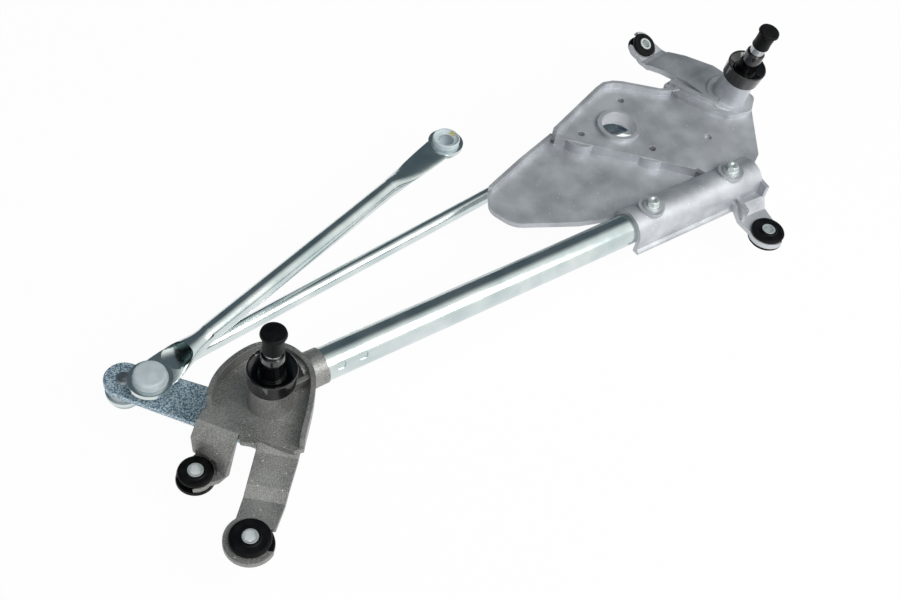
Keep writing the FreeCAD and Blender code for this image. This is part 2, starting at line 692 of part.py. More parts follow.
# Where the grommets sit: centre of the fork, the way out of it, upper and lower flange, fork
# diameter and lean.
GROMMETS = {
    "left_front": (Vector(-75.5, -74, -63), Vector(0.75, -0.66, 0), 31.0, 36.0, 39.0, Rotation()),
    "left_rear": (Vector(-68, 1, -78.5), Vector(-1, -0.1, 0), 27.0, 30.0, 28.0, Rotation()),
    "right_front": (Vector(-85.5, -119.5, -63), Vector(0.6, -0.8, 0), 31.0, 32.0, 33.0, Rotation()),
    "right_rear": (Vector(-11.5, 109, -36), Vector(-0.4, 0.9, 0), 25.0, 26.0, 31.0,
                   Rotation(UP, Vector(0.03, -0.45, 0.89))),
}


# Outlines seen from above, in x and y from the spindle; a third number is a corner's radius.
LEFT_RIM = ((-38, 24), (-31, 31), (-20, 37.5), (-6, 41.5), (8, 42.5), (20, 40.5), (30, 34), (36.5, 25),
            (39, 12), (37.5, 0), (32, -10), (22, -21), (2, -38), (-8, -46.5))
LEFT_FLOOR_FRONT = ((-14, -45), (-50, 19))
LEFT_TAB = ((-29, 2, 0), (-18, -8, 0), (-30, -23, 2), (-38.5, -13.4, 2))
BOSS_LEDGE = ((-44, 55, 3), (-42, 36, 4), (-31, 3, 10), (-22, -14, 10), (2, -21, 10), (21, -10, 8),
              (22, 22, 2), (10, 55, 2))
ARM_RIB = ((-36, 53), (-28, 24), (-20, 4))
LEG_END_WEB = ((-46, -38), (-53, -66), (-60, -92))
LEG_FIN = ((-85, -78), (-92, -96))
# Directions from the boss that the left housing's webs take, in degrees from +X.
LEFT_WEBS = (24, -8)
# The motor's opening and its three screws, as a place and as angles round it.
MOTOR_PLACE = Vector(-121.5, 43.5, 0)
MOTOR_SCREW_ANGLES = (38, 158, 278)


def make_left_housing():
    """The left bearing housing: a rimmed dish round the boss, a collar for the tube and two arms.

    Each arm is a loft of sections: centre, the way the arm runs there, width and thickness."""
    body = new_body("left_housing")
    floor = size("floor_depth")
    skin = size("casting_wall")
    curved_plate(body, "left_floor", beside(LEFT_RIM, size("rim_width / 2")), LEFT_FLOOR_FRONT,
                 "floor_depth", "casting_wall")
    curved_wall(body, "left_rim", LEFT_RIM, size("rim_width"),
                "floor_depth - rim_height", "rim_height + casting_wall")
    plate(body, "left_tab", LEFT_TAB, "floor_depth + 2", "casting_wall")
    boss(body, "left_boss", Vector(), UP, BOSS)
    collar = sketch_on(body, "tube_collar")
    inward = tube_turn.multVec(Vector(1, 0, 0))
    radius = "tube_outer / 2 + 1.2"
    collar.AttachmentOffset = tilted(along_tube(-size("tube_outer") * 0.75), UP, inward)
    add_profile(collar, [("0", "0"), (radius, "0"), (radius + " - 0.4", "tube_outer * 0.75"),
                         ("tube_outer / 2 - tube_wall - tube_fit", "tube_outer * 0.75"),
                         ("tube_outer / 2 - tube_wall - tube_fit - 0.6", "tube_outer * 2.1"),
                         ("0", "tube_outer * 2.1")])
    turn(body, collar)
    for index, lean in enumerate(LEFT_WEBS):
        heading = polar(1, lean)
        web = [heading * size("boss_top_diameter / 2 - 3"), heading * size("boss_top_diameter / 2 + 22")]
        wall(body, "left_web_%d" % index, [(point.x, point.y) for point in web], size("rim_width"),
             "floor_depth - rim_height * 0.8", "rim_height * 0.8 + casting_wall")
    rear = GROMMETS["left_rear"][0]
    front = GROMMETS["left_front"][0]
    down = Vector(-0.88, -0.47, 0)
    loft(body, "left_rear_arm", [
        (Vector(-35, 11, -floor - skin / 2), down, 33, skin),
        (Vector(-44, 6, -floor - skin / 2), down, 33, skin),
        (Vector(-51, 2.5, -floor - 12), Vector(-0.4, -0.2, -1), 34, skin),
        (Vector(-54.5, 0.5, rear.z + 3), Vector(-0.6, -0.1, -1), 33, skin),
        (Vector(-58, 0, rear.z), Vector(-1, 0, 0), 29, size("fork_thickness")),
        (rear, Vector(-1, 0, 0), 25, size("fork_thickness"))])
    heading = Vector(-0.77, -0.64, 0)
    loft(body, "left_front_arm", [
        (Vector(-8, -24, -floor - skin / 2), heading, 34, skin),
        (Vector(-16, -31, -floor - skin / 2 - 0.5), heading, 33, skin),
        (Vector(-22, -36, -floor - 11), heading, 32, skin),
        (Vector(-42, -51, front.z + 5.5), heading, 31, skin),
        (Vector(-49, -56, front.z), heading, 31, skin),
        (front, heading, 29, size("fork_thickness"))])
    for name in ("left_rear", "left_front"):
        centre, way, upper, lower, ring, lean = GROMMETS[name]
        fork(body, name + "_fork", centre, lean.multVec(UP), way, ring, lower)
    bore(body, "left_bore", Vector(), UP, "shaft_diameter / 2 + bush_wall")
    return body


def make_right_housing():
    """The right housing: motor plate, wing, saddle over the tube, tilted spindle boss and two arms."""
    body = new_body("right_housing")
    foot = Vector(0, 0, size("right_pivot_rise"))
    spot = foot - right_axis * size("floor_depth + 6")
    skin = size("casting_wall")
    shift = Vector(-size("pivot_spacing"), 0, 0)
    run = tube_turn.multVec(Vector(1, 0, 0))
    side = tube_turn.multVec(Vector(0, 1, 0))
    mouth = along_tube(tube_run.Length) + shift
    step_low = Vector(-100, -37, 0)
    step_high = Vector(-179, 71, 0)
    plate(body, "motor_plate", [
        (step_high.x, step_high.y, 0), (-98, 91, 14), (-80, 91, 12), (-53, 53, 4), (-30, 52, 6), (-24, 22, 0),
        (22, 22, 14), (19, -8, 10), (-36, -61, 6), (-60, -70, 0), (-96, -60, 0), (step_low.x, step_low.y, 0)],
        "motor_plate_depth", "casting_wall")
    wall(body, "plate_step", [(step_low.x, step_low.y), (step_high.x, step_high.y)], size("casting_wall"),
         "motor_plate_depth", "wing_depth - motor_plate_depth + casting_wall")
    low = mouth - side * 10
    plate(body, "wing", [
        (step_high.x + 3, step_high.y + 6, 2), (-272, 64, 6), (-288, 46, 16), (-283, 20, 22), (-233, -14, 6),
        (low.x, low.y + 26, 0), (low.x + 20, low.y + 6, 0), (step_low.x + 22, step_low.y - 4, 0),
        (step_low.x + 14, step_low.y + 4, 0)],
        "wing_depth", "casting_wall")
    wall(body, "wing_rim", [(-273, 61), (-225, 69.5), (step_high.x + 2, step_high.y + 5)], size("rim_width"),
         "wing_depth - 6", "casting_wall + 6")
    wall(body, "plate_rim", [
        (step_high.x, step_high.y + 2), (-103, 88.5), (-92, 89.6), (-83, 86), (-76, 80), (-52, 51),
        (-43, 46), (-28, 40)],
         size("rim_width"), "motor_plate_depth - 6", "casting_wall + 9")
    saddle = sketch_on(body, "saddle")
    saddle.AttachmentOffset = tilted(mouth, -side, UP)
    outer = size("tube_outer / 2 + saddle_wall")
    inner = size("tube_outer / 2 + tube_fit")
    drop = size("tube_outer / 2")
    flat = 2.5
    corners = [Vector(-outer, 0, 0), Vector(-outer, -drop + 5, 0), Vector(-outer - flat, -drop + 3, 0),
               Vector(-outer - flat, -drop, 0), Vector(-inner, -drop, 0), Vector(-inner, 0, 0)]
    for start, end in zip(corners, corners[1:]):
        saddle.addGeometry(Part.LineSegment(start, end))
        saddle.addGeometry(Part.LineSegment(Vector(-start.x, start.y, 0), Vector(-end.x, end.y, 0)))
    saddle.addGeometry(Part.Arc(corners[0], Vector(0, outer, 0), Vector(outer, 0, 0)))
    saddle.addGeometry(Part.Arc(corners[-1], Vector(0, inner, 0), Vector(inner, 0, 0)))
    pad(body, saddle, "saddle_length", reverse=(run.dot((-side).cross(UP)) < 0))
    dome = sketch_on(body, "saddle_end")
    dome.AttachmentOffset = tilted(mouth + run * (size("saddle_length") - 0.01), UP, run)
    dome.addGeometry(Part.LineSegment(Vector(0, 0, 0), Vector(outer, 0, 0)))
    bulge = (Vector(outer, 0, 0), Vector(outer * 0.72, outer * 0.62, 0), Vector(0, outer * 0.86, 0))
    dome.addGeometry(Part.Arc(*bulge))
    dome.addGeometry(Part.LineSegment(Vector(0, outer * 0.86, 0), Vector(0, 0, 0)))
    turn(body, dome)
    pads = sketch_on(body, "clamp_pads", "XY_Plane")
    pads_level = -size("tube_level - tube_outer / 2 - saddle_wall - clamp_pad_height")
    pads.AttachmentOffset = Placement(Vector(0, 0, pads_level), Rotation())
    for distance in clamp_places:
        spot_on = along_tube(distance) + shift
        add_circle(pads, "clamp_pad_diameter / 2", str(spot_on.x), str(spot_on.y))
    pad(body, pads, "saddle_wall", reverse=True)
    boss(body, "right_boss", foot, right_axis, BOSS)
    collar = sketch_on(body, "boss_flange")
    collar.AttachmentOffset = tilted(foot, Vector(1, 0, 0), right_axis)
    add_profile(collar, [("0", "-floor_depth + 1"), ("boss_base_diameter / 2 + 5.5", "-floor_depth + 1"),
                         ("boss_base_diameter / 2 + 7", "-floor_depth - 0.5"),
                         ("boss_base_diameter / 2 + 7", "-floor_depth - casting_wall - 3"),
                         ("0", "-floor_depth - casting_wall - 3")])
    turn(body, collar)
    centre, way, upper, lower, ring, lean = GROMMETS["right_rear"]
    plate(body, "boss_ledge", BOSS_LEDGE, "motor_plate_depth - casting_wall", "2 * casting_wall")
    wall(body, "arm_rib", ARM_RIB, size("rim_width + 1"),
         "motor_plate_depth - casting_wall - 4", "casting_wall + 4")
    rise = Vector(0, 0.89, 0.45)
    loft(body, "right_rear_arm", [
        (Vector(-2, 8, -30), Vector(0, 1, 0), 44, skin + 1),
        (Vector(-3, 42, -30), Vector(0, 1, 0), 42, skin + 1),
        (Vector(-7, 72, -35), Vector(0, 1, 0), 37, skin + 1),
        (Vector(-9, 90, -41), Vector(0, 1, 0), 34, skin + 1)])
    loft(body, "right_rear_tip", [
        (Vector(-9, 86, -41), Vector(0, 1, 0.1), 34, skin),
        (Vector(-10, 97, -41), rise, 32, size("fork_thickness")),
        (centre, rise, 27, size("fork_thickness"))])
    fork(body, "right_rear_fork", centre, lean.multVec(UP), way, ring, lower)
    front, way, upper, lower, ring, lean = GROMMETS["right_front"]
    loft(body, "right_front_arm", [
        (Vector(-66, -64, -55.5), Vector(-0.2, -1, 0), 40, 8),
        (Vector(-76, -88, -55.5), Vector(-0.2, -1, 0), 36, 8),
        (Vector(-79, -96, front.z), Vector(-0.2, -1, 0), 33, skin),
        (front, Vector(-0.2, -1, 0), 28, size("fork_thickness"))])
    wall(body, "leg_end_web", LEG_END_WEB, size("rim_width"),
         "motor_plate_depth + 4", "leg_web_height")
    wall(body, "leg_fin", LEG_FIN, size("rim_width"),
         "motor_plate_depth + 12", "leg_fin_height")
    fork(body, "right_front_fork", front, UP, way, ring, lower)
    ring = sketch_on(body, "motor_ring", "XY_Plane", level("motor_plate_depth - motor_ring_height"))
    add_circle(ring, "motor_bore / 2 + motor_ring_wall", str(MOTOR_PLACE.x), str(MOTOR_PLACE.y))
    pad(body, ring, "motor_ring_height + casting_wall + 6", reverse=True)
    screws = [MOTOR_PLACE + polar(size("motor_screw_circle / 2"), angle) for angle in MOTOR_SCREW_ANGLES]
    bosses = sketch_on(body, "motor_screw_bosses", "XY_Plane", level("motor_plate_depth + 0.5"))
    for screw in screws:
        add_circle(bosses, "motor_boss_diameter / 2", str(screw.x), str(screw.y))
    pad(body, bosses, "wing_depth - motor_plate_depth + 2", reverse=True)
    hole = sketch_on(body, "motor_bore_hole")
    add_circle(hole, "motor_bore / 2", str(MOTOR_PLACE.x), str(MOTOR_PLACE.y))
    pocket(body, hole, None, both=True)
    holes = sketch_on(body, "motor_screw_holes")
    for screw in screws:
        add_circle(holes, "motor_screw_hole / 2", str(screw.x), str(screw.y))
    pocket(body, holes, None, both=True)
    dimple = sketch_on(body, "locating_dimple", "XY_Plane", level("motor_plate_depth"))
    add_circle(dimple, "3.5", "-58.5", "-16.5")
    pocket(body, dimple, "3")
    drill = sketch_on(body, "housing_clamp_holes")
    for distance in clamp_places:
        spot_on = along_tube(distance) + shift
        add_circle(drill, "clamp_hole / 2", str(spot_on.x), str(spot_on.y))
    pocket(body, drill, None, both=True)
    seat = sketch_on(body, "tube_seat")
    seat.AttachmentOffset = tilted(mouth - run * size("seat_lead"), -side, UP)
    add_circle(seat, "tube_outer / 2 + tube_fit")
    pocket(body, seat, "saddle_length + seat_lead", reverse=(run.dot((-side).cross(UP)) > 0))
    bore(body, "right_bore", foot, right_axis, "shaft_diameter / 2 + bush_wall")
    return place(body, Vector(size("pivot_spacing"), 0, 0))


def round_section(body, name, distance, wide, high, lift=0.0):
    """An elliptical cross-section of a rod that runs along X."""
    sketch = sketch_on(body, name, "YZ_Plane", Placement(Vector(0, lift, distance), Rotation()))
    sketch.addGeometry(Part.Ellipse(Vector(wide + 0.001, 0, 0), Vector(0, high, 0), Vector()))
    return sketch


def through_sections(body, name, kind, sections):
    """Joins elliptical sections (distance, half width, half height, lift) with a loft."""
    sketches = [round_section(body, "%s_%d" % (name, index), *section)
                for index, section in enumerate(sections)]
    feature = body.newObject(kind, name)
    feature.Profile = sketches[0]
    feature.Sections = sketches[1:]
    feature.Ruled = False
    return feature


def eye(body, name, distance, diameter, thickness):
    """The flat round end of a rod."""
    disc = sketch_on(body, name)
    add_circle(disc, diameter + " / 2", distance)
    pad(body, disc, thickness, both=True)


def eye_bore(body, name, distance):
    hole = sketch_on(body, name)
    add_circle(hole, "socket_diameter / 2", distance)
    pocket(body, hole, None, both=True)


def make_drive_rod(base, rotation):
    """The rod to the motor: a steel tube, one end opened to a spoon and the other pressed flat."""
    body = new_body("drive_rod")
    reach = size("drive_rod_length")
    tube = size("drive_rod_diameter / 2")
    inner = size("drive_rod_diameter / 2 - drive_rod_wall")
    flat = size("eye_thickness / 2")
    spoon = size("spoon_length")
    core_start = size("core_start")
    eye(body, "drive_eye", "0", "rod_eye_diameter", "eye_thickness")
    through_sections(body, "spoon", "PartDesign::AdditiveLoft", [
        (6, 15.6, flat - 0.5, 0), (15.5, 15.3, flat - 0.5, 0), (26, 13.8, flat + 2.4, 0.8),
        (40, 10.8, tube - 0.6, 0.3), (spoon, tube, tube, 0)])
    pad(body, round_section(body, "rod_tube", spoon, tube, tube),
        "drive_rod_length - flat_end_length - spoon_length")
    through_sections(body, "flat_end", "PartDesign::AdditiveLoft", [
        (reach - size("flat_end_length"), tube, tube, 0), (reach - 66, 9.6, 5.2, 0),
        (reach - 48, 11.2, flat, 0), (reach - 30, 12.4, flat - 0.4, 0),
        (reach - 19, 12.9, flat - 0.5, 0), (reach - 8, 13.4, flat - 0.5, 0)])
    eye(body, "motor_eye", "drive_rod_length", "(rod_eye_diameter - 2)", "eye_thickness")
    core = sketch_on(body, "rod_core", "YZ_Plane", Placement(Vector(0, 0, core_start), Rotation()))
    add_circle(core, "drive_rod_diameter / 2 - drive_rod_wall")
    pocket(body, core, "drive_rod_length - core_end - core_start", reverse=True)
    through_sections(body, "spoon_hollow", "PartDesign::SubtractiveLoft", [
        (18, 12.6, 3.4, 5.2), (28, 11.8, 5.2, 4.2), (42, 8.6, 5.6, 1.4), (66, 3.6, 3.6, 0)])
    for index, distance in enumerate(("0", "drive_rod_length")):
        eye_bore(body, "drive_eye_bore_%d" % index, distance)
    return place(body, base, rotation)


def make_connecting_rod(base, rotation, reach):
    """The rod between crank and lever: a steel tube with both ends pressed flat."""
    body = new_body("connecting_rod")
    tube = size("link_rod_diameter / 2")
    flat = size("eye_thickness / 2")
    end = size("link_end_length")
    near = [(7, 12.4, flat - 0.3, 0), (24, 10.5, flat - 0.1, 0),
            (38, 8.2, flat + 1.6, 0), (end, tube, tube, 0)]
    far = [(reach - distance, wide, high, lift) for distance, wide, high, lift in near[::-1]]
    straight = pad(body, round_section(body, "link_tube", end, tube, tube), "1")
    straight.setExpression("Length", None)
    straight.Length = reach - 2 * end
    through_sections(body, "near_end", "PartDesign::AdditiveLoft", near)
    through_sections(body, "far_end", "PartDesign::AdditiveLoft", far)
    for index, distance in enumerate((0.0, reach)):
        eye(body, "link_eye_%d" % index, str(distance), "link_eye_diameter", "eye_thickness")
        eye_bore(body, "link_eye_bore_%d" % index, str(distance))
    return place(body, base, rotation)


def make_clip(side, base, rotation):
    """The retaining clip in the spindle's groove, open at one side."""
    body = new_body(side + "_retaining_clip")
    sketch = sketch_on(body, side + "_clip_outline", "XY_Plane", level("clip_depth"))
    add_circle(sketch, "shaft_diameter / 2 + clip_width")
    add_circle(sketch, "clip_groove / 2 + press_gap")
    pad(body, sketch, "clip_thickness", reverse=True)
    gap = sketch_on(body, side + "_clip_gap", "XY_Plane", level("clip_depth"))
    reach = size("shaft_diameter")
    add_outline(gap, [(0, -2, 0), (reach, -3.4, 0), (reach, 3.4, 0), (0, 2, 0)])
    pocket(body, gap, "2 * clip_thickness", both=True)
    return place(body, base, rotation)


def hexagon(across, height):
    """A hexagonal prism across its flats, standing on its base."""
    corner = across / math.sqrt(3)
    points = [polar(corner, 60 * index) for index in range(7)]
    return Part.Face(Part.makePolygon(points)).extrude(Vector(0, 0, height))


def clamp_set(label, make_one):
    """Identical fasteners on both clamp holes, kept as separate solids of one node."""
    pieces = []
    for distance in clamp_places:
        piece = make_one()
        piece.Placement = Placement(along_tube(distance), tube_turn)
        pieces.append(piece)
    node = doc.addObject("Part::Feature", label)
    node.Label = label
    node.Shape = Part.makeCompound(pieces)
    return node


def ring_solid(inner, outer, low, high):
    ring = Part.makeCylinder(outer, high - low, Vector(0, 0, low))
    return ring.cut(Part.makeCylinder(inner, high - low, Vector(0, 0, low)))


pad_top = size("tube_outer / 2 + saddle_wall + clamp_pad_height")
washer_top = pad_top + size("clamp_washer_thickness")
tube_bottom = -size("tube_outer / 2")
nut_top = tube_bottom - size("clamp_washer_thickness")


def clamp_bolt():
    """A hex bolt with a flange under its head, through saddle and tube."""
    shank = size("clamp_bolt_diameter / 2")
    end = nut_top - size("hex_height + flange_height") - 2.5
    bolt = Part.makeCylinder(shank, washer_top - end, Vector(0, 0, end))
    bolt = bolt.fuse(Part.makeCone(size("flange_diameter / 2"), size("flange_diameter / 2 - 0.8"),
                                   size("flange_height"), Vector(0, 0, washer_top)))
    head = hexagon(size("hex_across"), size("hex_height"))
    head.translate(Vector(0, 0, washer_top + size("flange_height")))
    dome = Part.makeCone(size("hex_across / 2 + 2.4"), size("hex_across / 2 - 0.2"), size("hex_height"),
                         Vector(0, 0, washer_top + size("flange_height")))
    bolt = bolt.fuse(head.common(dome))
    dish = Part.makeCone(1.2, 2.6, 1.0, Vector(0, 0, washer_top + size("flange_height + hex_height") - 1.0))
    return bolt.cut(dish).removeSplitter()


def clamp_washer():
    return ring_solid(size("clamp_hole / 2"), size("clamp_washer_diameter / 2"), pad_top, washer_top)


def clamp_nut():
    """A flange nut against the foot of the tube, its face curved to the tube."""
    body = size("clamp_bolt_diameter / 2 + press_gap")
    rise = size("tube_outer / 2 - clamp_washer_thickness")
    saddle = Part.makeCylinder(size("flange_diameter / 2 + 1"), rise, Vector(0, 0, nut_top))
    round_tube = Part.makeCylinder(size("tube_outer / 2"), 60, Vector(-30, 0, 0), Vector(1, 0, 0))
    saddle = saddle.cut(round_tube)
    kept = Part.makeBox(40, 40, size("clamp_washer_thickness + 2"), Vector(-20, -20, nut_top))
    saddle = saddle.common(kept)
    height = size("hex_height + flange_height")
    nut = hexagon(size("hex_across"), height)
    nut.translate(Vector(0, 0, nut_top - height))
    nut = nut.fuse(saddle)
    return nut.cut(Part.makeCylinder(body, 40, Vector(0, 0, nut_top - 30))).removeSplitter()


# The frame: two castings joined by the tube, hung in four rubber grommets.
make_tube()
make_left_housing()
make_right_housing()
for name, (centre, way, upper, lower, ring, lean) in GROMMETS.items():
    side = right_side if name.startswith("right") else Vector()
    height = size("fork_thickness + 2 * grommet_flange")
    top = centre + side + lean.multVec(Vector(0, 0, height / 2))
    make_grommet(name + "_grommet", str(upper), str(lower), str(height), top, lean)
    make_sleeve(name + "_grommet_sleeve", str(height), top, lean)
clamp_set("clamp_bolts", clamp_bolt)
clamp_set("clamp_washers", clamp_washer)
clamp_set("clamp_nuts", clamp_nut)

# The same spindle stack on both sides.
for side, base, turning in SIDES:
    make_bush(side, "upper", "-boss_top_depth - 0.5", base, turning)
    make_bush(side, "lower", "-boss_end_depth + bush_length + 0.5", base, turning)
    make_cover(side, base, turning)
    make_seal(side, base, turning)
    make_cap(side, base, turning)
    make_spindle(side, base, turning)
    make_clip(side, base, turning)
    make_ring(side + "_retaining_washer", "shaft_diameter / 2 + 0.2", "shaft_diameter / 2 + bush_wall + 2.5",
              "-boss_top_depth + 1.3", "1", base, turning)
    make_ring(side + "_thrust_washer", "shaft_diameter / 2 + 0.2", "shaft_diameter / 2 + 5",
              "-boss_end_depth - 0.3", "1.6", base, turning)
    make_ring(side + "_spring_washer", "shaft_diameter / 2 + 0.2", "shaft_diameter / 2 + 4",
              "-boss_end_depth - 2.1", "0.6", base, turning)

# The levers, their ball studs and the two rods.
hub_bore = "tenon_diameter / 2 + press_gap"
stud_bore = "stud_tenon_diameter / 2 + press_gap"
make_lever("left_crank", "crank_length", "crank_angle",
           [(hub_bore, "0"), (stud_bore, "drive_ball_radius"), (stud_bore, "crank_length")], *SIDES[0][1:])
make_lever("right_lever", "lever_length", "lever_angle",
           [(hub_bore, "0"), (stud_bore, "lever_length")], *SIDES[1][1:])
make_ball_stud("drive_ball_stud", "drive_ball_radius", "crank_angle", True,
               "held_ball_diameter", *SIDES[0][1:])
make_ball_stud("crank_ball_stud", "crank_length", "crank_angle", False, "held_ball_diameter", *SIDES[0][1:])
make_ball_stud("lever_ball_stud", "lever_length", "lever_angle", False, "open_ball_diameter", *SIDES[1][1:])

crank_middle = size("crank_depth + crank_thickness / 2")
drive_ball = polar(size("drive_ball_radius"), size("crank_angle"), size("ball_drop") - crank_middle)
drive_turn = Rotation(UP, size("drive_rod_angle"))
motor_end = drive_ball + drive_turn.multVec(Vector(size("drive_rod_length"), 0, 0))
make_drive_rod(drive_ball, drive_turn)
make_socket("drive_rod_pivot_socket", drive_ball, True, "held", drive_turn)
make_socket("drive_rod_motor_socket", motor_end, False, "held", drive_turn)

link_ball = polar(size("crank_length"), size("crank_angle"), -size("ball_drop") - crank_middle)
lever_ball = right_base + right_turn.multVec(
    polar(size("lever_length"), size("lever_angle"), -size("ball_drop") - crank_middle))
link_end = lever_ball + Vector(size("link_end_shift_x"), size("link_end_shift_y"), 0)
link_run = link_end - link_ball
link_axis = Vector(size("link_hinge_slope_x"), size("link_hinge_slope_y"), 1)
link_turn = Rotation(link_run, UP, link_axis, "XZY")
socket_turn = Rotation(link_run, UP, link_axis, "ZXY")
make_connecting_rod(link_ball, link_turn, link_run.Length)
make_socket("left_link_socket", link_ball, False, "held", socket_turn)
make_socket("right_link_socket", link_end, False, "open", socket_turn)

doc.recompute()
pieces = [item for item in doc.Objects if item.TypeId == "PartDesign::Body"]
pieces += [item for item in doc.Objects if item.TypeId == "Part::Feature" and item.Label.startswith("clamp")]
for item in doc.Objects:
    if "Invalid" in item.State or "Error" in item.State:
        raise RuntimeError("%s: %s" % (item.Name, item.State))
for piece in pieces:
    if piece.Shape.isNull() or not piece.Shape.isValid() or not piece.Shape.Solids:
        raise RuntimeError("no sound solid in " + piece.Label)
os.makedirs("parts", exist_ok=True)
for piece in pieces:
    piece.Shape.exportStep("parts/%s.step" % piece.Label)
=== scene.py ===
import math

import bmesh
import bpy
import numpy as np
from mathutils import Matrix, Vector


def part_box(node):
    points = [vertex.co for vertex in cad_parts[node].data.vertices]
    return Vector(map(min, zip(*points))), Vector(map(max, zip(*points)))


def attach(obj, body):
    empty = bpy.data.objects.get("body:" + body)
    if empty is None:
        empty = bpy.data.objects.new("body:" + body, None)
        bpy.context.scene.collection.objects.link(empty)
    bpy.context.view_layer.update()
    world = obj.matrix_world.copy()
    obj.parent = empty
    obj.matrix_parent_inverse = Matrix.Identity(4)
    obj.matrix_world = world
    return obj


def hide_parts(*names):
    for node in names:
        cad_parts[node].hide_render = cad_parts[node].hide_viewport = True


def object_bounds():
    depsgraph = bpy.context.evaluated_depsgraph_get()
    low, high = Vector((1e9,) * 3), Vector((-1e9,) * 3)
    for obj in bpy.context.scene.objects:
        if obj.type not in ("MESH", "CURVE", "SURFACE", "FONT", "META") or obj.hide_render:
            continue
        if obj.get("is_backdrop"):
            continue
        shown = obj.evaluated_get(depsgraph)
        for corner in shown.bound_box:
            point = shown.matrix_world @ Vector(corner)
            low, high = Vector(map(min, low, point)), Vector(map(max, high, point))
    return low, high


bl_info = {
    "name": "Wiper linkage finish",
    "version": (1, 0, 0),
    "blender": (4, 5, 0),
    "location": "View3D > Sidebar > Wiper linkage",
    "description": "Finishes and stage for a windscreen wiper linkage",
    "category": "Object",
}

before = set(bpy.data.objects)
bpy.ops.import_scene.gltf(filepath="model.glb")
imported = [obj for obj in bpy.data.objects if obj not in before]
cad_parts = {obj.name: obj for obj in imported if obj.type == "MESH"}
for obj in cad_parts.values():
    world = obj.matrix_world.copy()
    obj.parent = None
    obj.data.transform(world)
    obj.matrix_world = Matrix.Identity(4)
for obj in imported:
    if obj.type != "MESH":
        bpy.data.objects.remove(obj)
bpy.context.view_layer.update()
MM = 0.001

# Camera that sees the linkage as the photograph does: front left and above, 50 mm lens.
CAMERA_PLACE = (-0.34613, -0.40912, 0.73760)
CAMERA_TURN_DEG = (39.478, -7.807, -43.258)
CAMERA_NEAR = 0.01
LENS_MM = 50.0
SENSOR_MM = 36.0

# Where the sky is brightest, as a direction of length 1: in front and a little up. The sky is dark
# where the cosine to that direction is below the first limit, and bright above the second.
SKY_SIDE = (0.0, -0.970, 0.243)
SKY_DARK_BELOW, SKY_BRIGHT_ABOVE = -0.12, 0.45
SKY_DARK, SKY_BRIGHT = "#566167", "#fafcf8"

# The one lamp, a square in front of the linkage.
LAMP_PLACE = (0.5, -1.2, 1.3)
LAMP_TARGET = (0.25, 0.0, -0.04)
LAMP_WIDTH = 1.0

# Colours of grain, bloom and shade that have no setting in the panel, as sRGB hex values.
# The castings' white specks are painted glints that stand in for sparkle.
CASTING_GRAIN, CASTING_GLINT = "#cfd0d2", "#f2f3f4"
FASTENER_SHADE = "#c6cccf"
STEEL_DARK, STEEL_LIGHT = "#9fa3a6", "#d6d8d9"
RUBBER_BLOOM, COVER_HAZE = "#161618", "#0d0d10"
ACETAL_SHADE = "#b2bfc6"
BRONZE_PORES, BRONZE = "#6b4a28", "#a67c48"
GREASE_STREAKS = "#d8d3a8"
FLOOR_PAINT = "#f4f4f4"
PURE_WHITE = (1, 1, 1, 1)

# Samples with which a shader rounds an edge.
EDGE_SAMPLES = 4
# Turn of the drawing lines' pattern on the tube.
LINES_TURN = math.radians(9.2)
# Width of the cells that may hold a painted glint, and the share of them that stay without.
GLINT_CELL = 5.0
GLINT_FREE = 0.4

# Vertices of a new piece that are nearer than this become one.
WELD = 0.001 * MM
# Height of the free socket's rim over its ball's centre.
SOCKET_SKIRT = 7.5 * MM
# The free socket's profile in millimetres, as radii and heights from the ball's centre: the ball's
# cavity, the wall from its mouth to the foot, a rounded corner and a domed end.
CAVITY_RADIUS = 8.3
CAVITY_SPAN = math.radians(121)
MOUTH_AND_LEDGE = ((7.3, 4.7), (8.0, 5.0), (9.9, 5.1), (10.6, 5.4))
FUNNEL_AND_RIM = ((11.1, 6.3), (11.4, 7.2), (11.6, 7.5), (11.9, 7.5), (12.2, 7.4), (12.6, 6.9))
UPPER_WALL = ((12.8, 6.3), (12.8, -2.0))
FLANGE = ((12.9, -2.15), (13.8, -2.15), (13.9, -2.25), (13.9, -3.05), (13.8, -3.15))
LOWER_WALL = ((13.1, -3.15), (13.0, -3.3), (13.0, -6.3))
FOOT_RADIUS, FOOT_TOP = 10.5, -6.4
FOOT_CORNER = (2.5, 2.7)
DOME_START, DOME_END, DOME_HEIGHT = 10.0, -9.9, 0.8
CAVITY_STEPS, CORNER_STEPS, ROUND_STEPS = 18, 8, 96
# The grease in it: the side it is on, half the angle it spans, and the way up the funnel that it
# takes, as share of the way, radius and height.
GREASE_SIDE = math.radians(10)
GREASE_HALF_SPAN = math.radians(25)
GREASE_WAY = ((0, 8.0, 5.0), (0.45, 9.9, 5.1), (0.7, 10.6, 5.4), (1, 11.3, 6.9))
GREASE_SWELL, GREASE_SUNK = 0.7, 0.05
GREASE_STEPS_UP, GREASE_STEPS_ACROSS = 20, 28


def linear(hex_colour):
    """Turns an sRGB hex colour to the linear colour that shaders take."""
    parts = [int(hex_colour[i:i + 2], 16) / 255 for i in (1, 3, 5)]
    return tuple(c / 12.92 if c <= 0.04045 else ((c + 0.055) / 1.055) ** 2.4
                 for c in parts) + (1.0,)


def add_node(tree, kind, inputs=None, **settings):
    """Adds a node, gives it its settings, and sets or links each input."""
    made = tree.nodes.new(kind)
    for name, value in settings.items():
        setattr(made, name, value)
    for name, value in (inputs or {}).items():
        if isinstance(value, bpy.types.NodeSocket):
            tree.links.new(value, made.inputs[name])
        else:
            made.inputs[name].default_value = value
    return made


def noise(tree, place, size, detail):
    """Soft noise between 0 and 1, with features of a size in millimetres."""
    return add_node(tree, "ShaderNodeTexNoise", {
        "Vector": place, "Scale": 1 / size, "Detail": detail}).outputs["Fac"]


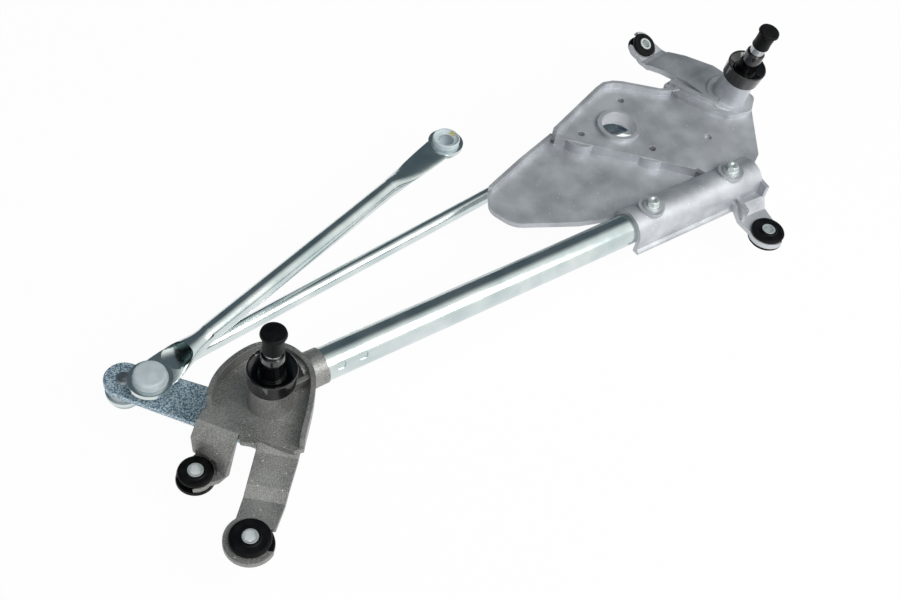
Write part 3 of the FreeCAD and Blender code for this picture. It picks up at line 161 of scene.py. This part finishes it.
def ramp(tree, value, start, end, low=0.0, high=1.0):
    """Carries a value from the span start to end over to low to high, and holds it beyond."""
    return add_node(tree, "ShaderNodeMapRange", {
        "Value": value, "From Min": start, "From Max": end,
        "To Min": low, "To Max": high}).outputs["Result"]


def blend(tree, share, first, second):
    """Mixes two colours, each a hex value or another node's, by the second's share."""
    first, second = (linear(item) if isinstance(item, str) else item for item in (first, second))
    # A mix node keeps its factor in input 0 and its colours in inputs 6 and 7 and output 2.
    return add_node(tree, "ShaderNodeMix", {0: share, 6: first, 7: second},
                    data_type="RGBA").outputs[2]


def combine(tree, operation, first, second):
    """The result of an operation on two values, such as MULTIPLY."""
    return add_node(tree, "ShaderNodeMath", {0: first, 1: second}, operation=operation).outputs[0]


def rounded(tree, radius):
    """The direction of the surface with its edges rounded by a radius in millimetres."""
    return add_node(tree, "ShaderNodeBevel", {"Radius": radius * MM},
                    samples=EDGE_SAMPLES).outputs["Normal"]


def bumped(tree, height, strength, depth, normal=None):
    """The direction of the surface with bumps of a depth in millimetres."""
    inputs = {"Height": height, "Strength": strength, "Distance": depth * MM}
    if normal is not None:
        inputs["Normal"] = normal
    return add_node(tree, "ShaderNodeBump", inputs).outputs["Normal"]


def empty_material(name):
    """A new material and its empty tree."""
    material = bpy.data.materials.new(name)
    material.use_nodes = True
    material.node_tree.nodes.clear()
    return material, material.node_tree


def start_material(name):
    """A new material and its tree, with object coordinates in millimetres."""
    material, tree = empty_material(name)
    place = add_node(tree, "ShaderNodeTexCoord").outputs["Object"]
    grid = add_node(tree, "ShaderNodeMapping", {
        "Vector": place, "Scale": (1 / MM, 1 / MM, 1 / MM)})
    return material, tree, grid.outputs["Vector"]


def finish_material(material, colour, roughness, normal, others=None):
    """Closes a material's tree with its surface and returns the material."""
    tree = material.node_tree
    surface = add_node(tree, "ShaderNodeBsdfPrincipled", {
        "Base Color": colour, "Roughness": roughness, "Normal": normal, **(others or {})})
    add_node(tree, "ShaderNodeOutputMaterial", {"Surface": surface.outputs["BSDF"]})
    return material


def die_cast_aluminium(name, light, dark):
    """Pressure die-cast aluminium, shot-blasted: grey, with a fine grain, a cloudy sheen and
    painted glints.
    """
    material, tree, place = start_material(name)
    # Shot blasting leaves dimples of about 0.5 mm; drawn at 0.9 mm so that they show.
    grit = noise(tree, place, 0.9, 3.0)
    # Metal flow and die lubricant leave clouds some 25 mm across.
    cloud = noise(tree, place, 25, 6.0)
    # Painted glints: white specks about 1 mm across, in more than half of their cells, that stand
    # in for sparkle.
    cells = add_node(tree, "ShaderNodeTexVoronoi", {"Vector": place, "Scale": 1 / GLINT_CELL})
    spot = ramp(tree, cells.outputs["Distance"], 0.07, 0.12, 0.9, 0.0)
    chance = add_node(tree, "ShaderNodeSeparateColor", {"Color": cells.outputs["Color"]})
    kept = combine(tree, "GREATER_THAN", chance.outputs["Red"], GLINT_FREE)
    painted_glints = combine(tree, "MULTIPLY", spot, kept)
    base = blend(tree, ramp(tree, cloud, 0.32, 0.68), dark, light)
    grained = blend(tree, ramp(tree, grit, 0.4, 0.7, 0.0, 0.5), base, CASTING_GRAIN)
    glinted = blend(tree, painted_glints, grained, CASTING_GLINT)
    rough = ramp(tree, cloud, 0.3, 0.7, 0.36, 0.48)
    normal = bumped(tree, grit, 0.5, 0.25, rounded(tree, 0.9))
    return finish_material(material, glinted, rough, normal, {"Metallic": 0.55})


def bright_zinc_tube(colours):
    """Drawn steel tube, bright zinc plated: near-mirror, blue-white, with faint lines along it."""
    material, tree, place = start_material("bright_zinc_tube")
    # Drawing lines are some 0.8 mm apart and hardly change along 60 mm.
    drawn = add_node(tree, "ShaderNodeMapping", {
        "Vector": place, "Rotation": (0, 0, LINES_TURN), "Scale": (1 / 60, 1 / 0.8, 1 / 0.8)})
    lines = noise(tree, drawn.outputs["Vector"], 1.0, 2.0)
    haze = noise(tree, place, 30, 3.0)
    base = blend(tree, ramp(tree, haze, 0.3, 0.7), colours.zinc_blue, colours.zinc_white)
    rough = ramp(tree, haze, 0.3, 0.7, 0.14, 0.24)
    normal = bumped(tree, lines, 0.18, 0.2)
    return finish_material(material, base, rough, normal, {"Metallic": 1.0})


def spangled_zinc(colours):
    """Pressed steel plate, blue-passivated zinc: fine crystals that glitter blue and white, their
    light and dark tones partly the zinc's own, partly painted glints and painted dark reflection.
    """
    material, tree, place = start_material("spangled_zinc")
    # Zinc crystals are under 1 mm; drawn at about 1 mm so that they show.
    crystals = add_node(tree, "ShaderNodeTexVoronoi", {"Vector": place, "Scale": 1 / 1.1})
    fine = noise(tree, place, 1.0, 3.0)
    # The crystals' light and dark tones are partly the zinc's own, partly painted glints and
    # painted dark reflection.
    base = blend(tree, ramp(tree, fine, 0.44, 0.58), colours.spangle_dark_and_reflection, colours.spangle_light_and_glint)
    rough = ramp(tree, crystals.outputs["Distance"], 0.0, 0.6, 0.22, 0.42)
    normal = bumped(tree, fine, 0.8, 0.3, rounded(tree, 0.6))
    return finish_material(material, base, rough, normal, {"Metallic": 0.35})


def bright_fastener(colours):
    """Cold-headed steel, bright zinc plated: clean silver with forging marks."""
    material, tree, place = start_material("bright_fastener")
    marks = noise(tree, place, 4, 2.0)
    base = blend(tree, marks, FASTENER_SHADE, colours.zinc_white)
    rough = ramp(tree, marks, 0.3, 0.7, 0.28, 0.42)
    normal = bumped(tree, marks, 0.08, 0.2, rounded(tree, 0.5))
    return finish_material(material, base, rough, normal, {"Metallic": 0.7})


def ground_steel():
    """Ground and hardened steel: fine rings round the shaft and a bright, cool sheen."""
    material, tree, place = start_material("ground_steel")
    # Grinding leaves rings about 0.3 mm apart along the shaft.
    rings = add_node(tree, "ShaderNodeTexWave", {
        "Vector": place, "Scale": 1 / 0.9, "Distortion": 1.5, "Detail": 2.0},
        bands_direction="Z").outputs["Fac"]
    base = blend(tree, noise(tree, place, 6, 2.0), STEEL_DARK, STEEL_LIGHT)
    rough = ramp(tree, rings, 0.0, 1.0, 0.2, 0.32)
    normal = bumped(tree, rings, 0.08, 0.1)
    return finish_material(material, base, rough, normal, {"Metallic": 1.0})


def black_rubber(colours):
    """Moulded nitrile rubber: near black, satin, with a little bloom and dust."""
    material, tree, place = start_material("black_rubber")
    bloom = noise(tree, place, 8, 5.0)
    skin = noise(tree, place, 0.7, 2.0)
    base = blend(tree, ramp(tree, bloom, 0.35, 0.75), colours.rubber, RUBBER_BLOOM)
    rough = ramp(tree, bloom, 0.3, 0.7, 0.34, 0.5)
    normal = bumped(tree, skin, 0.12, 0.15, rounded(tree, 0.7))
    return finish_material(material, base, rough, normal, {
        "IOR": 1.52, "Specular IOR Level": 0.12})


def black_polyamide(colours):
    """Moulded black polyamide: polished tool finish, so it reflects the room with soft edges."""
    material, tree, place = start_material("black_polyamide")
    haze = noise(tree, place, 5, 4.0)
    base = blend(tree, haze, colours.cover, COVER_HAZE)
    rough = ramp(tree, haze, 0.3, 0.7, 0.07, 0.15)
    return finish_material(material, base, rough, rounded(tree, 0.5), {
        "IOR": 1.53, "Coat Weight": 0.6, "Coat Roughness": 0.04})


def white_acetal(colours):
    """Moulded natural acetal: milky white, waxy, faintly translucent."""
    material, tree, place = start_material("white_acetal")
    flow = noise(tree, place, 7, 3.0)
    base = blend(tree, flow, ACETAL_SHADE, colours.acetal)
    rough = ramp(tree, flow, 0.3, 0.7, 0.3, 0.42)
    return finish_material(material, base, rough, rounded(tree, 0.8), {
        "IOR": 1.48, "Subsurface Weight": 0.25, "Subsurface Radius": (1.0, 0.9, 0.8),
        "Subsurface Scale": 1.5 * MM})


def sintered_bronze():
    """Oil-filled sintered bronze: matt brown-gold with open pores."""
    material, tree, place = start_material("sintered_bronze")
    pores = noise(tree, place, 0.5, 2.0)
    base = blend(tree, pores, BRONZE_PORES, BRONZE)
    return finish_material(material, base, 0.5, bumped(tree, pores, 0.3, 0.1), {"Metallic": 0.9})


def bearing_grease(colours):
    """Lithium grease: yellowish, wet and half clear."""
    material, tree, place = start_material("bearing_grease")
    streaks = noise(tree, place, 2.5, 3.0)
    base = blend(tree, streaks, colours.grease, GREASE_STREAKS)
    return finish_material(material, base, 0.18, bumped(tree, streaks, 0.4, 0.4), {"IOR": 1.47})


def pale_floor(share):
    """A matt white floor; seen directly or in metal it is lifted towards white by a share, and
    keeps its shadows."""
    material, tree = empty_material("pale_floor")
    paint = add_node(tree, "ShaderNodeBsdfDiffuse", {"Color": linear(FLOOR_PAINT)})
    glow = add_node(tree, "ShaderNodeEmission", {"Color": PURE_WHITE, "Strength": 1.0})
    path = add_node(tree, "ShaderNodeLightPath").outputs
    seen = combine(tree, "MAXIMUM", path["Is Camera Ray"], path["Is Glossy Ray"])
    lifted = combine(tree, "MULTIPLY", seen, share)
    mixed = add_node(tree, "ShaderNodeMixShader", {
        0: lifted, 1: paint.outputs[0], 2: glow.outputs[0]})
    add_node(tree, "ShaderNodeOutputMaterial", {"Surface": mixed.outputs[0]})
    return material


def dress(names, material):
    """Gives CAD nodes a material in every slot."""
    for name in names:
        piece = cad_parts[name]
        if not piece.material_slots:
            piece.data.materials.append(material)
        for slot in piece.material_slots:
            slot.material = material


def nodes_ending(*ends):
    """Names of the CAD nodes that end in any of some words."""
    return [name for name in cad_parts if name.endswith(ends)]


def surface_piece(name, points, closed_round, material, body):
    """Makes a mesh from a grid of points (rows by columns by 3). A closed one joins its last
    column to the first, and its first and last rows are its poles."""
    rows, columns = points.shape[:2]
    across = columns if closed_round else columns - 1
    row, column = np.meshgrid(np.arange(rows - 1), np.arange(across), indexing="ij")
    ahead = (column + 1) % columns
    faces = np.stack([row * columns + column, row * columns + ahead,
                      (row + 1) * columns + ahead, (row + 1) * columns + column], axis=-1)
    mesh = bpy.data.meshes.new(name)
    mesh.from_pydata(points.reshape(-1, 3).tolist(), [], faces.reshape(-1, 4).tolist())
    joined = bmesh.new()
    joined.from_mesh(mesh)
    bmesh.ops.remove_doubles(joined, verts=joined.verts, dist=WELD)
    if closed_round:
        bmesh.ops.recalc_face_normals(joined, faces=joined.faces)
    joined.to_mesh(mesh)
    joined.free()
    mesh.shade_smooth()
    mesh.materials.append(material)
    piece = bpy.data.objects.new(name, mesh)
    bpy.context.scene.collection.objects.link(piece)
    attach(piece, body)
    return piece


def turned(centre, radius, height, turn):
    """Points round the upright line through a centre, from radii, heights and turns."""
    radius, height, turn = np.broadcast_arrays(radius, height, turn)
    return np.stack([centre[0] + radius * np.cos(turn), centre[1] + radius * np.sin(turn),
                     centre[2] + height], axis=-1)


def socket_cup(centre):
    """The free socket, turned from its profile: the ball's round cavity, a ledge above it, a wide
    funnel up to a thin rim, the wall with its flange, a rounded corner and a domed foot."""
    across = np.linspace(0, CAVITY_SPAN, CAVITY_STEPS)
    inside = CAVITY_RADIUS * np.stack([np.sin(across), -np.cos(across)], axis=-1)
    down = np.linspace(0, math.pi / 2, CORNER_STEPS)
    corner = np.stack([FOOT_RADIUS + FOOT_CORNER[0] * np.cos(down),
                       FOOT_TOP - FOOT_CORNER[1] * np.sin(down)], axis=-1)
    crown = np.linspace(DOME_START, 0.0, CORNER_STEPS)
    dome = np.stack([crown, DOME_END + DOME_HEIGHT * (crown / FOOT_RADIUS) ** 2], axis=-1)
    profile = MM * np.concatenate([inside, MOUTH_AND_LEDGE, FUNNEL_AND_RIM, UPPER_WALL, FLANGE,
                                   LOWER_WALL, corner, dome])
    turn = np.linspace(0, 2 * np.pi, ROUND_STEPS, endpoint=False)
    return turned(centre, profile[:, :1], profile[:, 1:], turn)


def grease_smear(centre, toward):
    """A smear from the funnel's ledge up its wall: it spans 50 degrees about its direction, follows
    the funnel and swells by 0.7 mm, lobed across its width. It lies a little below the wall at
    its edge, so that it never hovers."""
    u, v = np.meshgrid(np.linspace(0, 1, GREASE_STEPS_UP), np.linspace(1, -1, GREASE_STEPS_ACROSS),
                       indexing="ij")
    turn = toward + GREASE_HALF_SPAN * v * (0.75 + 0.25 * np.sin(5 * u + 1))
    way, radii, heights = zip(*GREASE_WAY)
    crest = np.sin(math.pi * u) ** 0.5 * (1 - v ** 2) ** 0.5
    swell = GREASE_SWELL * crest * (1 + 0.3 * np.sin(7 * v + 3 * u)) - GREASE_SUNK
    radius = np.interp(u, way, radii) - swell * u
    height = np.interp(u, way, heights) + swell * (1 - 0.6 * u)
    return turned(centre, radius * MM, height * MM, turn)


def add_floor(scene, sizes):
    """A level square floor just under the lowest piece."""
    half = sizes.floor_width / 2
    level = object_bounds()[0][2] - sizes.floor_gap
    mesh = bpy.data.meshes.new("floor")
    corners = [(-half, -half, level), (half, -half, level),
               (half, half, level), (-half, half, level)]
    mesh.from_pydata(corners, [], [(0, 1, 2, 3)])
    mesh.materials.append(pale_floor(sizes.floor_glow))
    floor = bpy.data.objects.new("floor", mesh)
    scene.collection.objects.link(floor)
    floor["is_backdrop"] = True


def light_sky(scene, strength):
    """A studio sky: bright in front, dark behind from overhead down, white where seen directly."""
    world = bpy.data.worlds.new("studio")
    world.use_nodes = True
    scene.world = world
    tree = world.node_tree
    tree.nodes.clear()
    direction = add_node(tree, "ShaderNodeTexCoord").outputs["Generated"]
    toward = add_node(tree, "ShaderNodeVectorMath", {0: direction, 1: SKY_SIDE},
                      operation="DOT_PRODUCT").outputs["Value"]
    share = ramp(tree, toward, SKY_DARK_BELOW, SKY_BRIGHT_ABOVE)
    shade = blend(tree, share, SKY_DARK, SKY_BRIGHT)
    light = add_node(tree, "ShaderNodeBackground", {"Color": shade, "Strength": strength})
    seen = add_node(tree, "ShaderNodeBackground", {"Color": PURE_WHITE, "Strength": 1.0})
    path = add_node(tree, "ShaderNodeLightPath").outputs
    mixed = add_node(tree, "ShaderNodeMixShader", {
        0: path["Is Camera Ray"], 1: light.outputs[0], 2: seen.outputs[0]})
    add_node(tree, "ShaderNodeOutputWorld", {"Surface": mixed.outputs[0]})


def add_lamp(scene, power):
    """A square soft lamp in front, turned to the middle of the linkage."""
    lamp = bpy.data.lights.new("front_lamp", "AREA")
    lamp.size = LAMP_WIDTH
    lamp.energy = power
    holder = bpy.data.objects.new("front_lamp", lamp)
    holder.location = LAMP_PLACE
    aim = np.array(LAMP_PLACE) - np.array(LAMP_TARGET)
    holder.rotation_euler = (math.atan2(math.hypot(aim[0], aim[1]), aim[2]), 0,
                             math.atan2(aim[1], aim[0]) + math.pi / 2)
    scene.collection.objects.link(holder)


def add_camera(scene):
    """The camera that stands where the photograph's did."""
    camera = bpy.data.cameras.new("camera")
    camera.lens = LENS_MM
    camera.sensor_width = SENSOR_MM
    camera.clip_start = CAMERA_NEAR
    holder = bpy.data.objects.new("camera", camera)
    holder.location = CAMERA_PLACE
    holder.rotation_euler = [math.radians(turn) for turn in CAMERA_TURN_DEG]
    scene.collection.objects.link(holder)
    scene.camera = holder


def colour(name, description, default):
    """A setting that holds a colour as its sRGB hex value."""
    return bpy.props.StringProperty(name=name, description=description, default=default)


class FinishColours(bpy.types.PropertyGroup):
    """Colours of the finishes, as sRGB hex values."""
    # Both housings are the same die-cast metal: the right casting's colours are lightened as
    # painted light, the left casting's darkened as painted shade.
    right_lit_casting_light: colour(
        "Right casting, light", "Lighter clouds of the cool grey casting", "#ced1d7")
    right_lit_casting_dark: colour(
        "Right casting, dark", "Darker clouds of the cool grey casting", "#a4a7ae")
    left_shaded_casting_light: colour(
        "Left casting, light", "Lighter clouds of the warm grey casting", "#8c8b88")
    left_shaded_casting_dark: colour(
        "Left casting, dark", "Darker clouds of the warm grey casting", "#6a6966")
    zinc_white: colour("Zinc, white", "Bright zinc plating", "#e3e9e8")
    zinc_blue: colour("Zinc, blue", "Blue tint of the zinc plating", "#c2cfd1")
    # Crank and lever crystals: light and dark are partly their own tone, partly painted glints and
    # painted dark reflection.
    spangle_light_and_glint: colour(
        "Crank, light crystals", "Light zinc crystals of crank and lever", "#dcecf5")
    spangle_dark_and_reflection: colour(
        "Crank, dark crystals", "Dark zinc crystals of crank and lever", "#5b7d95")
    rubber: colour("Rubber", "Grommets and caps", "#070709")
    cover: colour("Covers", "Pivot covers and sleeves", "#050507")
    acetal: colour("Ball sockets", "Natural acetal", "#d8e1e5")
    grease: colour("Grease", "Grease in the free socket", "#a8a04a")


class StageSizes(bpy.types.PropertyGroup):
    """Sizes and strengths of the stage."""
    floor_width: bpy.props.FloatProperty(
        name="Floor width", description="Width of the pale floor", default=12.0, unit="LENGTH")
    floor_gap: bpy.props.FloatProperty(
        name="Floor gap", description="Floor below the lowest piece", default=0.0005,
        unit="LENGTH")
    floor_glow: bpy.props.FloatProperty(
        name="Floor glow", description="How far the floor is lifted towards white", default=0.96,
        min=0.0, max=1.0, subtype="FACTOR")
    sky: bpy.props.FloatProperty(
        name="Sky strength", description="Light from the sky all round", default=1.0, min=0.0)
    front_power: bpy.props.FloatProperty(
        name="Front lamp", description="Large lamp in front", default=16.0, subtype="POWER")


class FINISH_OT_castings(bpy.types.Operator):
    """Gives both spindle housings their blasted die-cast finish, the left one darkened as painted
    shade and the right one lightened as painted light
    """
    bl_idname = "linkage.castings"
    bl_label = "Castings"

    def execute(self, context):
        colours = context.scene.linkage_colours
        # The left housing gets a copy darkened as painted shade, the right one a copy lightened as
        # painted light.
        dress(("left_housing",), die_cast_aluminium(
            "warm_shaded_casting", colours.left_shaded_casting_light, colours.left_shaded_casting_dark))
        dress(("right_housing",), die_cast_aluminium(
            "cool_lit_casting", colours.right_lit_casting_light, colours.right_lit_casting_dark))
        return {"FINISHED"}


class FINISH_OT_rods(bpy.types.Operator):
    """Gives the tube and both rods their bright zinc"""
    bl_idname = "linkage.rods"
    bl_label = "Tube and rods"

    def execute(self, context):
        dress(("frame_tube", "drive_rod", "connecting_rod"),
              bright_zinc_tube(context.scene.linkage_colours))
        return {"FINISHED"}


class FINISH_OT_levers(bpy.types.Operator):
    """Gives crank and lever their spangled zinc"""
    bl_idname = "linkage.levers"
    bl_label = "Crank and lever"

    def execute(self, context):
        dress(("left_crank", "right_lever"), spangled_zinc(context.scene.linkage_colours))
        return {"FINISHED"}


class FINISH_OT_spindles(bpy.types.Operator):
    """Finishes spindles, ball studs, rings and bushes"""
    bl_idname = "linkage.spindles"
    bl_label = "Spindles and studs"

    def execute(self, context):
        dress(nodes_ending("_spindle", "_ball_stud", "_thrust_washer", "_spring_washer",
                           "_retaining_washer", "_retaining_clip"), ground_steel())
        dress(nodes_ending("_bush"), sintered_bronze())
        return {"FINISHED"}


class FINISH_OT_fasteners(bpy.types.Operator):
    """Finishes clamp bolts, washers, nuts and the grommets' sleeves"""
    bl_idname = "linkage.fasteners"
    bl_label = "Fasteners"

    def execute(self, context):
        clamps = [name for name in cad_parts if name.startswith("clamp_")]
        dress(clamps + nodes_ending("_grommet_sleeve"),
              bright_fastener(context.scene.linkage_colours))
        return {"FINISHED"}


class FINISH_OT_rubber(bpy.types.Operator):
    """Finishes grommets and spindle caps"""
    bl_idname = "linkage.rubber"
    bl_label = "Grommets and caps"

    def execute(self, context):
        dress(nodes_ending("_grommet", "_spindle_cap"),
              black_rubber(context.scene.linkage_colours))
        return {"FINISHED"}


class FINISH_OT_covers(bpy.types.Operator):
    """Finishes the pivot covers and the sleeves round the spindles"""
    bl_idname = "linkage.covers"
    bl_label = "Covers and sleeves"

    def execute(self, context):
        dress(nodes_ending("_pivot_cover", "_spindle_sleeve"),
              black_polyamide(context.scene.linkage_colours))
        return {"FINISHED"}


class FINISH_OT_sockets(bpy.types.Operator):
    """Finishes the ball sockets, shapes the free one's funnel and greases it"""
    bl_idname = "linkage.sockets"
    bl_label = "Ball sockets"

    def execute(self, context):
        colours = context.scene.linkage_colours
        acetal = white_acetal(colours)
        dress(nodes_ending("_link_socket", "pivot_socket"), acetal)
        low, high = (np.array(corner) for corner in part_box("drive_rod_motor_socket"))
        centre = [(low[0] + high[0]) / 2, (low[1] + high[1]) / 2, high[2] - SOCKET_SKIRT]
        cup = surface_piece("motor_socket_cup", socket_cup(centre), True, acetal, "drive_rod")
        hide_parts("drive_rod_motor_socket")
        smear = surface_piece("motor_socket_grease", grease_smear(centre, GREASE_SIDE), False,
                              bearing_grease(colours), "drive_rod")
        return {"FINISHED"}


class FINISH_OT_stage(bpy.types.Operator):
    """Puts the linkage on a pale floor in soft light and sets the camera"""
    bl_idname = "linkage.stage"
    bl_label = "Stage"

    def execute(self, context):
        sizes = context.scene.linkage_stage
        add_floor(context.scene, sizes)
        light_sky(context.scene, sizes.sky)
        add_lamp(context.scene, sizes.front_power)
        add_camera(context.scene)
        context.scene.view_settings.view_transform = "Standard"
        return {"FINISHED"}


STEPS = (FINISH_OT_castings, FINISH_OT_rods, FINISH_OT_levers, FINISH_OT_spindles,
         FINISH_OT_fasteners, FINISH_OT_rubber, FINISH_OT_covers, FINISH_OT_sockets,
         FINISH_OT_stage)


class FINISH_PT_panel(bpy.types.Panel):
    """Lists the finishes of the linkage"""
    bl_idname = "FINISH_PT_panel"
    bl_label = "Wiper linkage"
    bl_space_type = "VIEW_3D"
    bl_region_type = "UI"
    bl_category = "Wiper linkage"

    def draw(self, context):
        for group in (context.scene.linkage_colours, context.scene.linkage_stage):
            for name in group.__annotations__:
                self.layout.prop(group, name)
        for step in STEPS:
            self.layout.operator(step.bl_idname)


CLASSES = (FinishColours, StageSizes) + STEPS + (FINISH_PT_panel,)


def register():
    for item in CLASSES:
        bpy.utils.register_class(item)
    bpy.types.Scene.linkage_colours = bpy.props.PointerProperty(type=FinishColours)
    bpy.types.Scene.linkage_stage = bpy.props.PointerProperty(type=StageSizes)


def unregister():
    del bpy.types.Scene.linkage_stage
    del bpy.types.Scene.linkage_colours
    for item in reversed(CLASSES):
        bpy.utils.unregister_class(item)


def main():
    """Registers the add-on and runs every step."""
    register()
    for step in STEPS:
        group, name = step.bl_idname.split(".")
        getattr(getattr(bpy.ops, group), name)()


if __name__ == "__main__":
    main()
